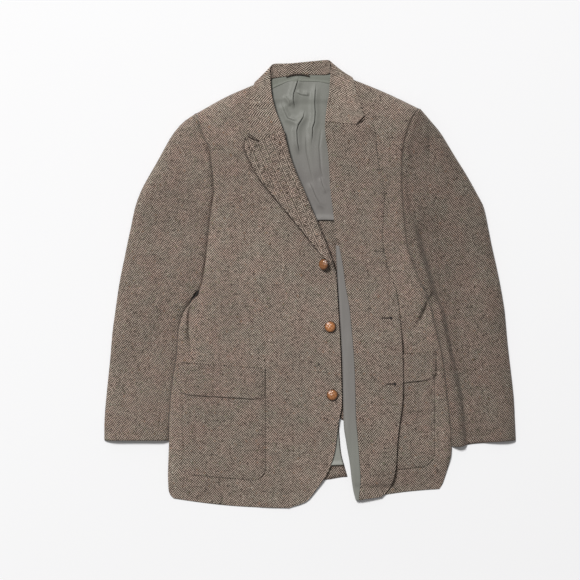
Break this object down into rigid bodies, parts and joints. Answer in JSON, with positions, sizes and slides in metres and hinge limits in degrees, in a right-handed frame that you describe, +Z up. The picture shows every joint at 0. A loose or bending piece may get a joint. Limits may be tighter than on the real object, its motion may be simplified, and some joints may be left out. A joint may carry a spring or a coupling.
{
  "type": "tweed hacking jacket",
  "caption": "Single-breasted herringbone tweed hacking jacket with notched lapels and flapped patch pockets, laid flat on its back with one front folded open to its lining.",
  "frame": {"origin": "on the surface that the jacket lies on, under the middle of its outline", "axes": "+Z up from the surface, +Y from the hem to the collar, +X towards the wearer's left sleeve"},
  "size_m": [0.7814, 0.8506, 0.0283],
  "materials": {
    "tweed": "matt, napped herringbone wool in heathered brown and cream",
    "lining": "soft satin sheen, grey green",
    "neck_lining": "soft satin sheen, darker grey green",
    "loop_cord": "matt dark cord",
    "button_leather": "polished woven leather"
  },
  "bodies": {
    "root": {"back_left": "tweed", "back_right": "tweed", "button_1": "button_leather", "button_2": "button_leather", "button_3": "button_leather", "collar_leaf": "tweed", "collar_stand": "tweed", "facing_left": "tweed", "facing_right": "tweed", "front_left": "tweed", "front_right": "tweed", "hanger_loop": "loop_cord", "lining_back": "lining", "lining_front_left": "lining", "lining_neck": "neck_lining", "lining_vent": "lining", "pocket_flap_left": "tweed", "pocket_flap_right": "tweed", "pocket_patch_left": "tweed", "pocket_patch_right": "tweed", "sleeve_left_top": "tweed", "sleeve_left_under": "tweed", "sleeve_right_top": "tweed", "sleeve_right_under": "tweed"}
  },
  "joints": []
}
